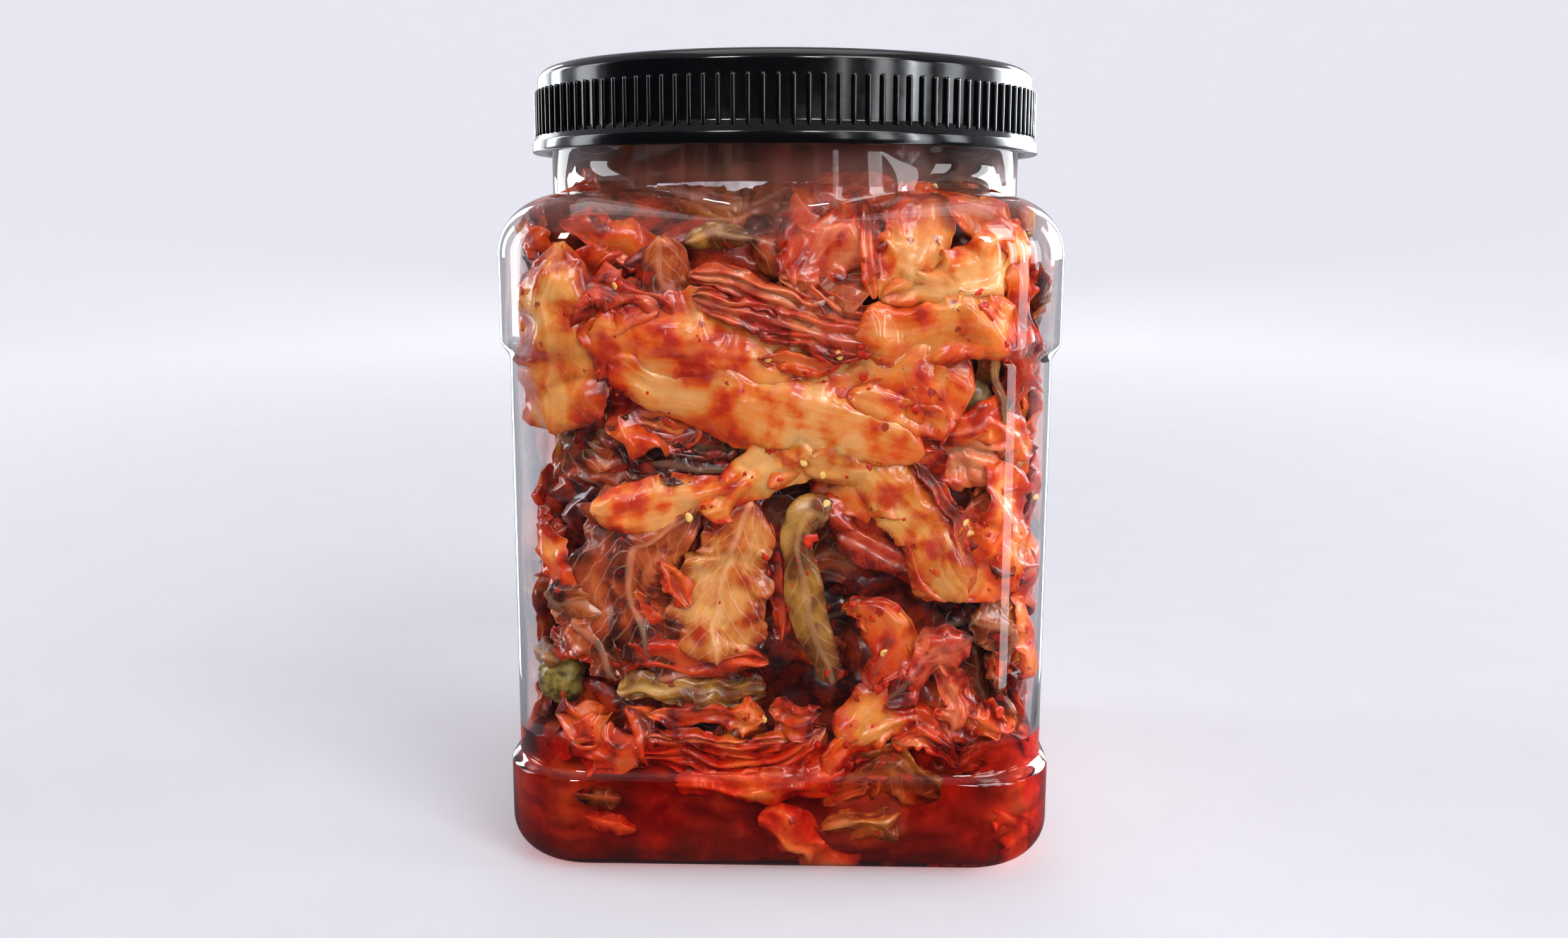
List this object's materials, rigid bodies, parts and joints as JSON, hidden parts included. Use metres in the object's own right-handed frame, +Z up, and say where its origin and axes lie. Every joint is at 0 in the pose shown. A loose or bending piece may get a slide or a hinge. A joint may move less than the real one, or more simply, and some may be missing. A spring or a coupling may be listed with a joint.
{
  "type": "kimchi jar",
  "caption": "Square clear plastic jar of chilli-red cut cabbage kimchi standing in brine, closed by a round black lid with upright grip ribs.",
  "frame": {"origin": "middle of the jar's base, on the surface that it stands on", "axes": "+Z up through the lid; the jar's flat faces look along X and Y, and -Y is the front"},
  "size_m": [0.1164, 0.1164, 0.1689],
  "materials": {
    "clear_plastic": "clear blow-moulded plastic",
    "black_plastic": "glossy moulded",
    "kimchi": "wet cut cabbage in chilli paste",
    "brine": "clear red brine",
    "green_leaf": "wet dark green leaf"
  },
  "bodies": {
    "root": {"jar": "clear_plastic", "neck": "clear_plastic", "lid": "black_plastic", "kimchi": "kimchi", "brine": "brine", "low_green_piece": "green_leaf", "high_green_piece": "green_leaf"}
  },
  "joints": []
}
